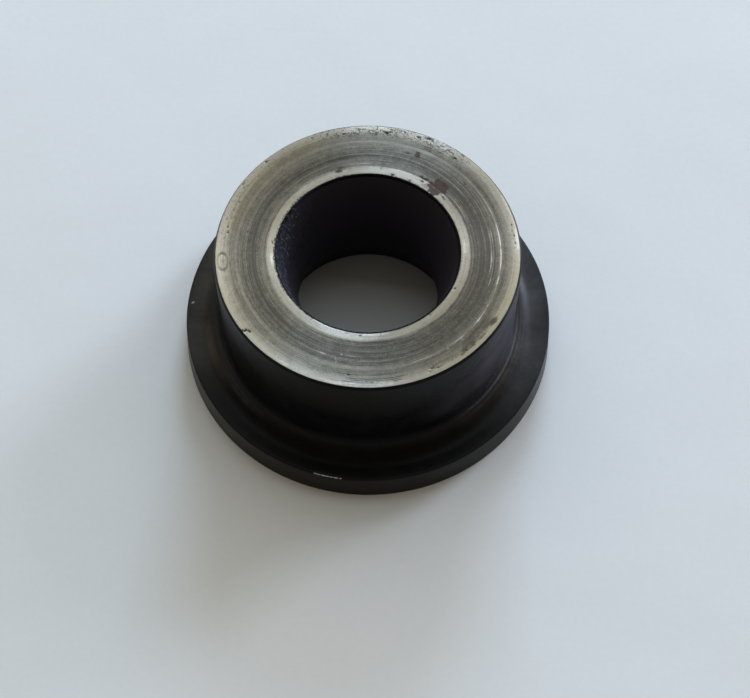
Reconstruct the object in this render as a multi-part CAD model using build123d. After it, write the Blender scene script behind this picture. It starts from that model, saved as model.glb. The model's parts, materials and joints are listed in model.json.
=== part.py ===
from build123d import *
import os

# Rubber metal bush: a turned steel sleeve bonded into one black rubber moulding.
# Millimetres. +Z is the bush's axis and points out of the bare steel face. The
# origin is the centre of the foot, the flat underside of the flange.
#
# The steel shows only as the ring of the top face. The rubber covers everything
# else: the barrel, the flange with its rim and foot, and the waisted bore.

# ---- driving dimensions ------------------------------------------------------

# Heights
OVERALL_HEIGHT = 26.1        # foot to bare steel face
RIM_HEIGHT = 5.4             # flange edge, from the foot up
RUBBER_UNDER_SLEEVE = 6.4    # solid rubber between the sleeve's lower end and the foot

# Steel sleeve, worked outwards from its bore
SLEEVE_BORE_RADIUS = 15.0
FACE_WIDTH = 9.5             # width of the bare steel ring
COLLAR_HEIGHT = 2.2          # full-width collar that the mould closes on
COLLAR_STEP = 2.0            # the sleeve is turned down this much below its collar
COLLAR_NECK = 0.8            # sloped corner that the turning tool leaves under the collar
SLEEVE_CHAMFER = 0.8         # both edges of the sleeve's lower end

# Rubber moulding
SKIN = 0.3                   # rubber beside the steel, in the plane of the face
ROOT_FILLET = 4.2            # sweep of the barrel into the flange top
FLANGE_PROJECTION = 6.15     # flange edge beyond the straight barrel
RIM_DRAFT = 0.3              # the rim's radius grows this much from its edge to the foot
RIM_EDGE_BREAK = 0.15        # upper and lower edges of the rim, nearly sharp

# Waisted bore of the rubber
LINING_THICKNESS = 3.3       # rubber between the sleeve's bore and the throat
THROAT_LENGTH = 4.6          # waist between the two tapers, its rounded ends included
THROAT_HEIGHT = 12.5         # middle of the waist above the foot
THROAT_BLEND_RADIUS = 6.0    # rolls the waist into the tapers above and below it
FOOT_MOUTH_FLARE = 0.1       # foot mouth's radius beyond the sleeve's bore
FOOT_MOUTH_BREAK = 0.5       # broken edge of the bore at the foot

# ---- sizes that follow -------------------------------------------------------

face_radius = SLEEVE_BORE_RADIUS + FACE_WIDTH
sleeve_body_radius = face_radius - COLLAR_STEP
sleeve_foot = RUBBER_UNDER_SLEEVE
collar_foot = OVERALL_HEIGHT - COLLAR_HEIGHT

barrel_radius = face_radius + SKIN
flange_edge_radius = barrel_radius + FLANGE_PROJECTION
foot_radius = flange_edge_radius + RIM_DRAFT

mouth_radius = SLEEVE_BORE_RADIUS - SKIN
throat_radius = SLEEVE_BORE_RADIUS - LINING_THICKNESS
throat_top = THROAT_HEIGHT + THROAT_LENGTH / 2
throat_bottom = THROAT_HEIGHT - THROAT_LENGTH / 2
foot_mouth_radius = SLEEVE_BORE_RADIUS + FOOT_MOUTH_FLARE


def corner(section, radius, height):
    """The vertex of a half section nearest to one radius and height."""
    return section.vertices().sort_by_distance((radius, height, 0))[0]


def sleeve_outline():
    """Points of the sleeve's half section, clockwise from the bore's upper edge."""
    return [
        (SLEEVE_BORE_RADIUS, OVERALL_HEIGHT),
        (face_radius, OVERALL_HEIGHT),
        (face_radius, collar_foot),
        (sleeve_body_radius, collar_foot),
        (sleeve_body_radius, sleeve_foot),
        (SLEEVE_BORE_RADIUS, sleeve_foot),
    ]


def sleeve_section():
    """Half section of the steel: a collar at the face over a turned-down body."""
    with BuildSketch(Plane.XZ) as section:
        with BuildLine():
            Polyline(*sleeve_outline(), close=True)
        make_face()
        chamfer(corner(section, sleeve_body_radius, collar_foot), COLLAR_NECK)
        lower_end = [
            corner(section, sleeve_body_radius, sleeve_foot),
            corner(section, SLEEVE_BORE_RADIUS, sleeve_foot),
        ]
        chamfer(lower_end, SLEEVE_CHAMFER)
    return section.sketch


def rubber_envelope():
    """Half section of the moulding's outside and bore, with the steel's room filled in."""
    with BuildSketch(Plane.XZ) as section:
        with BuildLine():
            Polyline(
                (mouth_radius, OVERALL_HEIGHT),
                (barrel_radius, OVERALL_HEIGHT),
                (barrel_radius, RIM_HEIGHT),
                (flange_edge_radius, RIM_HEIGHT),
                (foot_radius, 0),
                (foot_mouth_radius, 0),
                (throat_radius, throat_bottom),
                (throat_radius, throat_top),
                close=True,
            )
        make_face()
        fillet(corner(section, barrel_radius, RIM_HEIGHT), ROOT_FILLET)
        rim_edges = [
            corner(section, flange_edge_radius, RIM_HEIGHT),
            corner(section, foot_radius, 0),
        ]
        chamfer(rim_edges, RIM_EDGE_BREAK)
        chamfer(corner(section, foot_mouth_radius, 0), FOOT_MOUTH_BREAK)
        throat_ends = [
            corner(section, throat_radius, throat_bottom),
            corner(section, throat_radius, throat_top),
        ]
        fillet(throat_ends, THROAT_BLEND_RADIUS)
    return section.sketch


def steel_sleeve():
    """The turned sleeve, one solid."""
    sleeve = revolve(sleeve_section(), Axis.Z)
    sleeve.label = "steel_sleeve"
    return sleeve


def rubber_moulding(sleeve):
    """The moulding, one solid, which meets the sleeve face to face all over."""
    moulding = revolve(rubber_envelope(), Axis.Z) - sleeve
    moulding.label = "rubber_moulding"
    return moulding


def main():
    os.makedirs("parts", exist_ok=True)
    sleeve = steel_sleeve()
    moulding = rubber_moulding(sleeve)
    for piece in (sleeve, moulding):
        export_step(piece, os.path.join("parts", piece.label + ".step"))


main()
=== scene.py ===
# Rubber metal bush: the looks of a turned steel sleeve bonded into a black rubber moulding.
# Metres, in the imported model's frame: +Z is the bush's axis, and the foot lies on Z = 0.
import json
import math

import bpy
import numpy as np
from mathutils import Matrix, Vector


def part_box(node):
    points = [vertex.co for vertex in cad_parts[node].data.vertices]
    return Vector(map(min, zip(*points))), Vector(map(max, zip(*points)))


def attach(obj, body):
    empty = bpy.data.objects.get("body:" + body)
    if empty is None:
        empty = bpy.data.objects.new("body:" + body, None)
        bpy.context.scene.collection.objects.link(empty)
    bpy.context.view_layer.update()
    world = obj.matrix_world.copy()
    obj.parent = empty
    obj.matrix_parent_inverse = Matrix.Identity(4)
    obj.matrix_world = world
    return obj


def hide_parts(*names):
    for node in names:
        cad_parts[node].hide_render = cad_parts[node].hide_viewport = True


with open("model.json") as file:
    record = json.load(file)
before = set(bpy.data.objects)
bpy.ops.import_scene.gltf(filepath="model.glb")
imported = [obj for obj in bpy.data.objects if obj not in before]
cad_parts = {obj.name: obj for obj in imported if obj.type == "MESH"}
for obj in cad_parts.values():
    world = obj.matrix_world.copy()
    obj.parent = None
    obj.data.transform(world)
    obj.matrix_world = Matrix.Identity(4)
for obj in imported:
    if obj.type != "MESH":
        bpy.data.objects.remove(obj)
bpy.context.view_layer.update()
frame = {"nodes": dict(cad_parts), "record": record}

MM = 0.001
TAU = 2 * math.pi
SEGMENTS = 640          # vertices round each piece
FACE_RINGS = 138        # rings of vertices across the bare face


# ---- sizes read from the frame ----

def node_radii(name):
    """Distances of a CAD node's vertices from the bush's axis."""
    return [math.hypot(v.co.x, v.co.y) for v in frame["nodes"][name].data.vertices]


MOUNTS = {mount["name"]: mount for mount in frame["record"]["mounts"]}
SLEEVE_LOW, SLEEVE_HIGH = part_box("steel_sleeve")

FACE_Z = SLEEVE_HIGH.z
SLEEVE_FOOT_Z = SLEEVE_LOW.z
BORE_R = min(node_radii("steel_sleeve"))
FACE_R = max(node_radii("steel_sleeve"))
FOOT_R = max(node_radii("rubber_moulding"))
THROAT_R = MOUNTS["throat_bore"]["dims"]["r_mm"] * MM
THROAT_Z = MOUNTS["throat_bore"]["pos_m"][2]
BARREL_R = MOUNTS["barrel"]["dims"]["r_mm"] * MM
FLANGE_Z = MOUNTS["flange_seat"]["pos_m"][2]

# Forms that the frame gives no number for, as the part has them
COLLAR_Z = FACE_Z - 2.2 * MM
SLEEVE_BODY_R = FACE_R - 2.0 * MM
SLEEVE_CHAMFER = 0.8 * MM
SKIN = BARREL_R - FACE_R
ROOT_FILLET = 4.2 * MM
RIM_DRAFT = 0.3 * MM
FLANGE_EDGE_R = FOOT_R - RIM_DRAFT
RIM_EDGE = 0.16 * MM
LIP = 0.10 * MM                         # rounding of the rubber at the bore's mouth
SKIN_FEATHER = 0.52 * MM                # the skin beside the steel slopes down this far
SKIN_SHOULDER = 0.5 * MM                # rounding between that slope and the wall
WAIST_Z = THROAT_Z - 0.1 * MM           # middle of the waist
THROAT_HALF = 2.3 * MM
THROAT_BLEND = 6.0 * MM
FOOT_MOUTH_R = BORE_R + 0.1 * MM
FOOT_MOUTH_EDGE = 0.5 * MM

# Borders between the kinds of rubber surface
ROOT_CREASE_Z = FLANGE_Z + 2.1 * MM     # the wall ends here, and its root begins
LIP_BLACK_Z = FACE_Z - 0.4 * MM         # the bore's lip is as black as the wall above this
HAIR = 1e-6                             # slack in m when radii or heights are compared


# ---- section outlines ----

def line(start, end, steps):
    """Points from start towards end, without the end itself."""
    start, end = np.array(start), np.array(end)
    return [tuple(start + (end - start) * k / steps) for k in range(steps)]


def rounded(before, corner, after, radius, steps):
    """Arc that rounds one corner of an outline, as points from its first tangent to its last."""
    corner = np.array(corner, float)
    to_before = np.array(before, float) - corner
    to_after = np.array(after, float) - corner
    to_before /= np.linalg.norm(to_before)
    to_after /= np.linalg.norm(to_after)
    half = math.acos(np.clip(to_before @ to_after, -1, 1)) / 2
    middle = to_before + to_after
    centre = corner + middle / np.linalg.norm(middle) * radius / math.sin(half)
    first = corner + to_before * radius / math.tan(half) - centre
    last = corner + to_after * radius / math.tan(half) - centre
    sweep = math.atan2(first[0] * last[1] - first[1] * last[0], first @ last)
    points = []
    for k in range(steps + 1):
        c, s = math.cos(sweep * k / steps), math.sin(sweep * k / steps)
        turned = np.array((first[0] * c - first[1] * s, first[0] * s + first[1] * c))
        points.append(tuple(centre + turned))
    return points


def sleeve_body():
    """From the collar's lower edge down the sleeve to its lower end, and in to the bore."""
    return [
        (FACE_R, COLLAR_Z),
        (SLEEVE_BODY_R + SLEEVE_CHAMFER, COLLAR_Z),
        (SLEEVE_BODY_R, COLLAR_Z - SLEEVE_CHAMFER),
        (SLEEVE_BODY_R, SLEEVE_FOOT_Z + SLEEVE_CHAMFER),
        (SLEEVE_BODY_R - SLEEVE_CHAMFER, SLEEVE_FOOT_Z),
        (BORE_R + SLEEVE_CHAMFER, SLEEVE_FOOT_Z),
        (BORE_R, SLEEVE_FOOT_Z + SLEEVE_CHAMFER),
    ]


def sleeve_outline():
    """Closed half section of the steel, from the bore's upper edge outwards."""
    outer_top = (FACE_R, FACE_Z)
    face = line((BORE_R, FACE_Z), outer_top, FACE_RINGS)
    return np.array(face + line(outer_top, (FACE_R, COLLAR_Z), 2) + sleeve_body())


def moulding_outline():
    """Closed half section of the rubber: bore, lip, the sleeve's bed, barrel, flange and foot.

    The last number of each call is how many steps that stretch has.
    """
    mouth = (BORE_R - SKIN, FACE_Z)
    throat_top = (THROAT_R, WAIST_Z + THROAT_HALF)
    throat_low = (THROAT_R, WAIST_Z - THROAT_HALF)
    foot_mouth = (FOOT_MOUTH_R, 0.0)
    shoulder = (BARREL_R, FACE_Z)
    root = (BARREL_R, FLANGE_Z)
    rim_top = (FLANGE_EDGE_R, FLANGE_Z)
    rim_low = (FOOT_R, 0.0)

    waist_up = rounded(throat_low, throat_top, mouth, THROAT_BLEND, 6)
    waist_low = rounded(foot_mouth, throat_low, throat_top, THROAT_BLEND, 6)
    lip = rounded(waist_up[-1], mouth, (BORE_R, FACE_Z), LIP, 2)
    feather = (BARREL_R, FACE_Z - SKIN_FEATHER)
    shoulder_edge = rounded((FACE_R, FACE_Z), feather, root, SKIN_SHOULDER, 4)
    fillet = rounded(shoulder, root, rim_top, ROOT_FILLET, 18)
    rim_break = rounded(root, rim_top, rim_low, RIM_EDGE, 3)
    foot_break = rounded(rim_top, rim_low, foot_mouth, RIM_EDGE, 3)
    mouth_break = rounded(rim_low, foot_mouth, throat_low, FOOT_MOUTH_EDGE, 4)

    points = line(mouth_break[-1], waist_low[0], 12)
    points += waist_low[:-1] + line(waist_low[-1], waist_up[0], 3) + waist_up[:-1]
    points += line(waist_up[-1], lip[0], 34) + lip
    points += [(BORE_R, FACE_Z)] + sleeve_body()[::-1] + [(FACE_R, FACE_Z)]
    points += shoulder_edge + line(shoulder_edge[-1], fillet[0], 18)[1:] + fillet[:-1]
    points += line(fillet[-1], rim_break[0], 5) + rim_break[:-1]
    points += line(rim_break[-1], foot_break[0], 10) + foot_break[:-1]
    points += line(foot_break[-1], mouth_break[0], 5) + mouth_break[:-1]
    return np.array(points)


# ---- noise and marks ----

def ring_noise(angle, across, around_cells, across_cells, seed):
    """Smooth noise from -1 to 1 on a band: angle closes on itself, across runs from 0 to 1."""
    table = np.random.default_rng(seed).uniform(-1, 1, (around_cells, across_cells + 2))
    u = (angle / TAU) % 1.0 * around_cells
    v = np.clip(across, 0, 1) * across_cells
    i, j = np.floor(u).astype(int), np.floor(v).astype(int)
    fu, fv = u - i, v - j
    fu, fv = fu * fu * (3 - 2 * fu), fv * fv * (3 - 2 * fv)
    i0, i1 = i % around_cells, (i + 1) % around_cells
    low = table[i0, j] * (1 - fu) + table[i1, j] * fu
    high = table[i0, j + 1] * (1 - fu) + table[i1, j + 1] * fu
    return low * (1 - fv) + high * fv


def step(values, start, end):
    """0 up to start, 1 from end, smooth between."""
    t = np.clip((values - start) / (end - start), 0, 1)
    return t * t * (3 - 2 * t)


def turned_from(angle, degrees):
    """Signed angle in radians from a direction given in degrees."""
    return (angle - math.radians(degrees) + math.pi) % TAU - math.pi


def within(angle, start, end, soft):
    """1 inside a span of degrees, 0 outside it, soft at its ends."""
    middle, half = (start + end) / 2, (end - start) / 2
    off = np.degrees(np.abs(turned_from(angle, middle)))
    return 1 - step(off, half - soft, half + soft)


BLOT_RAGGED = 0.45      # how far noise moves a mark's edge, as a share of its size
BLOT_CORE = 0.55        # a mark is at full strength out to this share of its size
BLOT_END = 1.15         # and ends here


def blots(radius, angle, marks, ragged):
    """Strength of a list of marks: azimuth, radius, half length around, half width across, strength."""
    total = np.zeros_like(radius)
    for azimuth, place, around, across, strength in marks:
        du = turned_from(angle, azimuth) * place / around
        dv = (radius / MM - place) / across
        size = np.sqrt(du * du + dv * dv) + BLOT_RAGGED * ragged
        total = np.maximum(total, strength * (1 - step(size, BLOT_CORE, BLOT_END)))
    return total


def patches(radius, angle, table):
    """Each patch of a table over the surface, times its weight.

    A row holds the radii in mm between which the patch rises, those between which it falls,
    its start, end and softness in degrees, and its weight.
    """
    layers = []
    for rise_from, rise_to, fall_from, fall_to, start, end, soft, weight in table:
        rise = step(radius / MM, rise_from, rise_to)
        fall = 1 - step(radius / MM, fall_from, fall_to)
        layers.append(weight * rise * fall * within(angle, start, end, soft))
    return layers


# ---- the steel face ----

# What the lathe left, from the bore outwards: radius in mm, depth in mm, brightness (1 is bright)
FACE_BANDS = (
    (15.0, 0.03, 0.75), (15.1, 0.006, 0.95), (15.6, 0.0, 0.88), (16.2, 0.004, 0.8),
    (16.38, 0.02, 0.5), (16.54, 0.066, 0.16), (16.76, 0.06, 0.28), (17.17, 0.06, 0.21),
    (17.57, 0.062, 0.13), (17.85, 0.06, 0.16), (18.15, 0.066, 0.08), (18.55, 0.068, 0.05),
    (18.94, 0.062, 0.15), (19.33, 0.066, 0.08), (19.72, 0.06, 0.17), (19.92, 0.05, 0.23),
    (20.11, 0.064, 0.14), (20.5, 0.056, 0.22), (20.9, 0.06, 0.27), (21.3, 0.046, 0.42),
    (21.5, 0.05, 0.4), (21.7, 0.06, 0.29), (22.27, 0.05, 0.3), (22.7, 0.036, 0.46),
    (23.08, 0.024, 0.58), (23.47, 0.014, 0.79), (24.0, 0.008, 0.94), (24.26, 0.01, 1.05),
    (24.42, 0.014, 1.05), (24.5, 0.022, 1.0),
)
# Single rings that stand out: radius and half width in mm, the degrees they span, what they add to
# the brightness
RINGS = (
    (21.44, 0.07, 276, 300, 0.25), (21.4, 0.07, 308, 315, 0.4), (21.44, 0.07, 320, 330, 0.5),
    (21.38, 0.07, 343, 348, 0.6), (21.38, 0.08, 350, 386, 0.7), (21.36, 0.07, 384, 404, 0.35),
    (21.1, 0.06, 348, 372, 0.22), (20.2, 0.08, 340, 372, 0.35), (19.85, 0.08, 349, 371, 0.38),
    (20.42, 0.08, 346, 372, -0.22), (19.93, 0.05, 268, 302, 0.16), (20.03, 0.06, 376, 391, 0.15),
    (18.99, 0.09, 20, 66, 0.18), (18.72, 0.11, 68, 112, -0.15), (18.5, 0.16, 98, 236, -0.1),
    (20.5, 0.08, 82, 102, 0.2), (21.02, 0.09, 112, 174, 0.2), (20.4, 0.07, 186, 236, 0.12),
    (21.05, 0.26, 190, 284, 0.14), (20.45, 0.18, 186, 262, -0.12), (19.5, 0.1, 178, 236, -0.1),
    (19.28, 0.07, 192, 234, 0.1), (17.42, 0.08, 12, 64, 0.2), (17.1, 0.08, 12, 64, 0.22),
    (16.82, 0.08, 12, 62, -0.12), (17.0, 0.08, 84, 106, 0.24), (17.3, 0.07, 62, 104, 0.1),
    (16.66, 0.07, 243, 284, -0.5), (17.03, 0.06, 250, 284, -0.16), (17.38, 0.06, 252, 284, -0.12),
    (18.1, 0.06, 258, 284, 0.12), (22.3, 0.06, 258, 282, -0.3), (23.05, 0.07, 262, 284, -0.75),
    (23.36, 0.07, 264, 282, -0.8), (23.62, 0.07, 260, 283, -0.8), (23.86, 0.07, 266, 280, -0.7),
    (24.1, 0.06, 262, 276, -0.5), (19.15, 0.07, 259, 266, 0.4), (19.7, 0.09, 247, 250, 0.3),
    (22.0, 0.06, 196, 240, -0.1),
)
RING_SOFT = 2.5            # degrees over which a ring starts and ends
RING_CORE = 0.4            # a ring is full out to this share of its half width
RING_END = 1.5             # and ends here
RING_WORN = 0.40           # what is left of a ring where it is worn
RING_WEAR = (-0.45, 0.20)  # values of the noise between which it goes from worn to whole

# Turning marks: mm between them, depth in mm, how far they stray in turns, their least share of depth
FEED_PITCH = 0.42
FEED_DEPTH = 0.009
FEED_STRAY = 0.25
FEED_LEAST = 0.6
# They are shallower on the two lands, outside the tool-marked band whose edges these are in mm
LAND_FEED = 0.35
BAND_START = (16.4, 16.8)
BAND_END = (22.4, 23.2)

# Depths in mm
MARK_DEPTHS = {"pit": 0.070, "rust": 0.035, "dent": 0.045, "scratch": 0.020}
DIMPLE_DEPTH = 0.006
EDGE_WEAR_DEPTH = 0.03
EDGE_WEAR_START = 24.2     # radius in mm

# The inner land's border lies further in at the back and further out elsewhere, in mm
LAND_SHIFT = -0.12
LAND_BACK_SHIFT = 0.20
LAND_BACK = (78, 166, 30)  # start, end and softness in degrees
LAND_REACH = (17.0, 17.8)  # radii in mm between which the shift ends
LAND_STRAY = 0.07
BAND_STRAY = 0.05
FINE_STRAY = 0.06

# Noise: cells around, cells across, seed
RAGGED = (620, 46, 11)
COARSE = (210, 16, 12)
BITES = (290, 1, 13)
WORN_RINGS = (150, 14, 51)
FEED_WANDER = (7, 3, 21)
FEED_UNEVEN = (40, 20, 22)
DIMPLES = (90, 12, 23)
EDGE_WEAR = (130, 2, 24)
BAND_WANDER = (60, 1, 41)
FINE_WANDER = (230, 3, 42)
LAND_WANDER = (26, 1, 43)

# Patches of the face, as patches() reads them
EVERYWHERE = (-360, 360, 90)   # the whole turn
INSIDE = (0, 1)            # a rise inside the bore: the patch starts at the face's inner edge
OUTSIDE = (30, 31)         # a fall outside the face: the patch runs to its outer edge
SPECK_PATCHES = (
    (22.0, 23.0, *OUTSIDE, *EVERYWHERE, 0.28), (22.0, 23.0, *OUTSIDE, 46, 108, 6, 0.84),
    (22.4, 23.2, *OUTSIDE, 108, 180, 12, 0.36), (*INSIDE, 15.14, 15.50, *EVERYWHERE, 0.50),
    (*INSIDE, 15.14, 15.50, 126, 214, 14, 1.10), (*INSIDE, 15.14, 15.50, 55, 90, 10, 0.30),
)
# Painted light and shade: the face's brightness is raised at the back and lowered at the right and at the
# inner left, where the light's reflection falls so
PAINTED_LIGHT_PATCHES = (
    (*INSIDE, *OUTSIDE, 72, 168, 26, 0.07), (*INSIDE, *OUTSIDE, -24, 34, 22, -0.04),
    (*INSIDE, 21.6, 22.4, -24, 34, 22, -0.07), (*INSIDE, 21.6, 22.4, 166, 204, 14, -0.05),
)
WARM_PATCHES = (
    (20.0, 22.0, 22.9, 23.8, 108, 172, 14, 1.0), (16.59, 16.64, *OUTSIDE, 176, 236, 10, 0.8),
    (22.0, 23.4, *OUTSIDE, 284, 352, 12, 0.7),
)

# Marks on the face: azimuth in degrees, radius, half length around and half width across in mm, strength
RUST = (
    (46.2, 17, 1.6, 1.15, 1), (46.6, 15.7, 1.15, 0.95, 1), (44.5, 17.6, 0.9, 0.65, 1),
    (49.6, 17.5, 0.6, 0.6, 0.9), (42.3, 16.95, 0.55, 0.3, 0.9), (51.8, 16.8, 0.45, 0.3, 0.8),
    (50.5, 16.2, 0.6, 0.5, 0.8), (39, 20.55, 0.32, 0.26, 0.6), (173.5, 15.55, 0.4, 0.3, 0.6),
    (28, 15.5, 0.3, 0.2, 0.5), (326.8, 23.55, 0.9, 0.4, 0.46), (311, 23.45, 1.1, 0.34, 0.34),
)
STAINS = (
    (66.3, 20.5, 0.5, 0.6, 1.3), (66, 20, 0.7, 0.3, 1.2), (70.8, 20.2, 0.6, 0.28, 0.95),
    (107.2, 16.2, 0.8, 0.48, 1.3), (105.5, 16.75, 0.6, 0.3, 1), (104, 16.3, 0.5, 0.2, 0.9),
    (254.2, 17.5, 0.45, 0.4, 0.7), (252.4, 17.3, 0.3, 0.35, 0.4), (53.6, 15.6, 0.8, 0.4, 0.6),
    (312, 23.35, 2.3, 0.66, 1.12), (327, 23.5, 1.3, 0.56, 1.3), (324, 23, 1.4, 0.6, 1),
    (319.5, 22.75, 4.9, 0.95, 0.88), (308.5, 23.75, 0.6, 0.28, 1), (319, 23.65, 1.2, 0.28, 0.9),
    (301, 23.3, 3.6, 0.55, 0.62), (337, 22.9, 3, 0.5, 0.45), (217.6, 23.8, 0.7, 0.55, 0.65),
    (262, 22.35, 0.5, 0.3, 0.6), (82, 16.1, 0.3, 0.25, 0.6), (64, 22.3, 1.6, 0.6, 0.45),
    (57.5, 22.2, 0.9, 0.5, 0.35), (97, 22.5, 1, 0.4, 0.4), (88, 22.9, 1.4, 0.4, 0.35),
)
PITS = (
    (64.8, 24.15, 0.5, 0.34, 1), (63.6, 23.85, 0.22, 0.2, 0.8), (66, 23.85, 0.2, 0.18, 0.7),
    (69.2, 23.75, 0.32, 0.28, 0.8), (69.5, 23.15, 0.2, 0.18, 0.6), (75, 23.95, 0.26, 0.22, 0.8),
    (76, 23.5, 0.22, 0.2, 0.7), (80.4, 24, 0.34, 0.2, 0.8), (82, 23.25, 0.42, 0.3, 1),
    (80.9, 23.55, 0.24, 0.22, 0.8), (83.6, 23.45, 0.26, 0.2, 0.8), (86.3, 23.1, 0.34, 0.2, 0.8),
    (88, 23.5, 0.24, 0.2, 0.7), (92, 23.8, 0.34, 0.2, 0.8), (93.5, 23.3, 0.22, 0.2, 0.7),
    (95.8, 23.15, 0.24, 0.18, 0.7), (98, 22.6, 0.26, 0.2, 0.6), (99.9, 23.2, 0.4, 0.2, 0.9),
    (103.2, 23, 0.2, 0.18, 0.7), (105.8, 23.1, 0.22, 0.2, 0.7), (112.6, 23.9, 0.22, 0.2, 0.7),
    (51.3, 22.95, 0.42, 0.26, 0.9), (48.5, 23.4, 0.22, 0.18, 0.6), (54.5, 23.5, 0.24, 0.2, 0.8),
    (55.6, 23.75, 0.2, 0.18, 0.7), (58.5, 23.8, 0.26, 0.2, 0.7), (57.8, 22.5, 0.3, 0.2, 0.7),
    (60.5, 23.3, 0.2, 0.18, 0.6), (64.2, 22.2, 0.26, 0.34, 0.6), (62, 21.85, 0.26, 0.2, 0.5),
    (56.8, 16.75, 0.85, 0.14, 1), (58.4, 16.95, 0.3, 0.12, 0.8), (54.8, 16.9, 0.35, 0.22, 0.9),
    (56.4, 16.1, 0.34, 0.26, 0.8), (39.8, 16.05, 0.6, 0.14, 0.9), (38.6, 15.85, 0.35, 0.1, 0.7),
    (66.4, 20.55, 0.26, 0.42, 0.5), (65.8, 20.05, 0.4, 0.2, 0.5), (107.3, 16.22, 0.42, 0.32, 0.7),
    (74.5, 15.25, 0.36, 0.28, 1), (82.5, 16.15, 0.2, 0.18, 0.7), (63, 15.2, 0.28, 0.16, 0.7),
    (1.5, 23.7, 0.22, 0.16, 0.7), (3.6, 23.8, 0.24, 0.16, 0.7), (5.6, 23.6, 0.2, 0.16, 0.6),
    (7.2, 23.75, 0.24, 0.16, 0.8), (9.6, 23.6, 0.22, 0.16, 0.7), (12.3, 23.8, 0.24, 0.18, 0.7),
    (134, 24.2, 0.34, 0.26, 0.9), (135, 23.15, 0.2, 0.18, 0.6), (147.6, 24.2, 0.5, 0.18, 0.8),
    (149, 23.7, 0.3, 0.2, 0.6), (153.5, 23.4, 0.2, 0.18, 0.6), (155.8, 23, 0.24, 0.2, 0.7),
    (160, 23.2, 0.18, 0.16, 0.6), (164.2, 23.1, 0.2, 0.18, 0.6), (168.3, 23.2, 0.24, 0.2, 0.7),
    (170.8, 22.9, 0.28, 0.22, 0.9), (169, 19.85, 0.3, 0.22, 0.6), (216.3, 24.35, 0.26, 0.24, 1),
    (216.9, 24, 0.26, 0.36, 1), (217.9, 23.7, 0.4, 0.24, 0.9), (257, 15.4, 0.2, 0.16, 0.5),
    (262.2, 22.45, 0.26, 0.28, 0.8), (265.2, 15.45, 0.28, 0.2, 0.7), (277, 15.3, 0.2, 0.16, 0.6),
    (293.8, 23.75, 0.26, 0.2, 0.7), (295, 23.3, 0.3, 0.2, 0.7), (297.6, 23.7, 0.28, 0.2, 0.8),
    (296, 22.9, 0.2, 0.16, 0.5), (333.3, 15.45, 0.36, 0.18, 0.7), (310, 15.25, 0.24, 0.16, 0.5),
)
SCRATCHES = (
    (255.8, 20.5, 0.1, 0.3, 0.7), (255.2, 20.05, 0.1, 0.3, 0.7), (257.5, 19.1, 0.2, 0.18, 0.8),
    (249, 19.7, 0.5, 0.14, 0.5), (184, 15.3, 0.8, 0.12, 0.6), (247, 23.4, 0.8, 0.05, 0.5),
    (291, 22.9, 1.4, 0.05, 0.6), (318, 22.8, 0.5, 0.1, 0.8), (320, 23.3, 0.35, 0.12, 0.7),
    (305.2, 21.6, 0.14, 0.36, 0.6), (312.8, 21.75, 0.14, 0.3, 0.5), (323.8, 21.7, 0.12, 0.3, 0.5),
)
# Painted highlights: glints where the outer edge, the inner lip and fine lines catch the light, drawn as
# bright colour
PAINTED_GLINTS = (
    (5, 24.15, 2.6, 0.26, 0.55), (2, 23.8, 1.2, 0.2, 0.4), (22, 24.2, 2.2, 0.26, 0.4),
    (62, 24.38, 3.6, 0.2, 0.8), (58, 23.8, 1.6, 0.4, 0.3), (90, 24.15, 5.2, 0.5, 0.8),
    (96, 23.8, 2.2, 0.7, 0.4), (270.5, 23.95, 4.4, 0.55, 0.8), (258, 24.2, 2, 0.26, 0.6),
    (237, 24.2, 1.2, 0.4, 0.4), (246, 15.14, 3.2, 0.14, 1), (272, 15.24, 2.9, 0.2, 1),
    (258, 15.75, 5.4, 0.8, 0.35), (185, 15.45, 1.2, 0.34, 0.7), (3, 15.6, 1.6, 0.3, 0.45),
    (312, 21.4, 0.9, 0.08, 0.55), (324.8, 21.44, 1, 0.09, 0.95), (332.2, 21.37, 0.28, 0.1, 0.6),
    (345.5, 21.38, 0.8, 0.08, 0.8), (355.5, 21.38, 2.2, 0.09, 0.9), (8, 21.38, 2.6, 0.08, 0.6),
    (343.5, 20.18, 0.7, 0.07, 0.5), (355, 19.85, 1.6, 0.07, 0.5), (293, 21.24, 1.8, 0.07, 0.35),
    (262.5, 19.15, 0.9, 0.06, 0.5), (270, 18.1, 1.2, 0.05, 0.4), (90, 18.3, 2, 0.06, 0.3),
    (94, 17, 2.4, 0.08, 0.45), (30, 17.1, 2.4, 0.07, 0.4), (40, 18.99, 2.4, 0.07, 0.3),
    (48, 15.25, 0.5, 0.2, 0.5), (213, 15.2, 1.2, 0.14, 0.6), (120, 16, 6, 0.8, 0.3),
)
# Each kind of mark: its list, the noise that makes its edges ragged, and how much of that noise
MARK_KINDS = {
    "rust": (RUST, COARSE, 0.5), "stain": (STAINS, COARSE, 0.4), "pit": (PITS, RAGGED, 1.0),
    "scratch": (SCRATCHES, RAGGED, 0.4), "glint": (PAINTED_GLINTS, RAGGED, 0.8),
}
# An oval ring struck into the outer land: azimuth, radius, half length around and half width across
DENT = (184.6, 23.42, 1.88, 0.98)
DENT_LINE = 0.82           # where the struck line lies, as a share of those half sizes
DENT_WIDTH = (0.04, 0.20)  # and between which distances from there it fades
DENT_FAINT = 0.45          # strength in the middle of its two long sides
DENT_SIDES = (0.3, 0.8)    # shares of its half length between which it gets strong

# Small dark bites out of the steel's inner edge
BITE_RADII = (15.08, 15.30)    # mm, between which they end
BITE_NOISE = (0.15, 0.60)      # values of the noise between which a bite begins
BITE_LEAST = 0.25              # strength all round
BITE_MORE = 0.45               # and what is added to it at the left
BITE_SPAN = (100, 236, 12)


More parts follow.
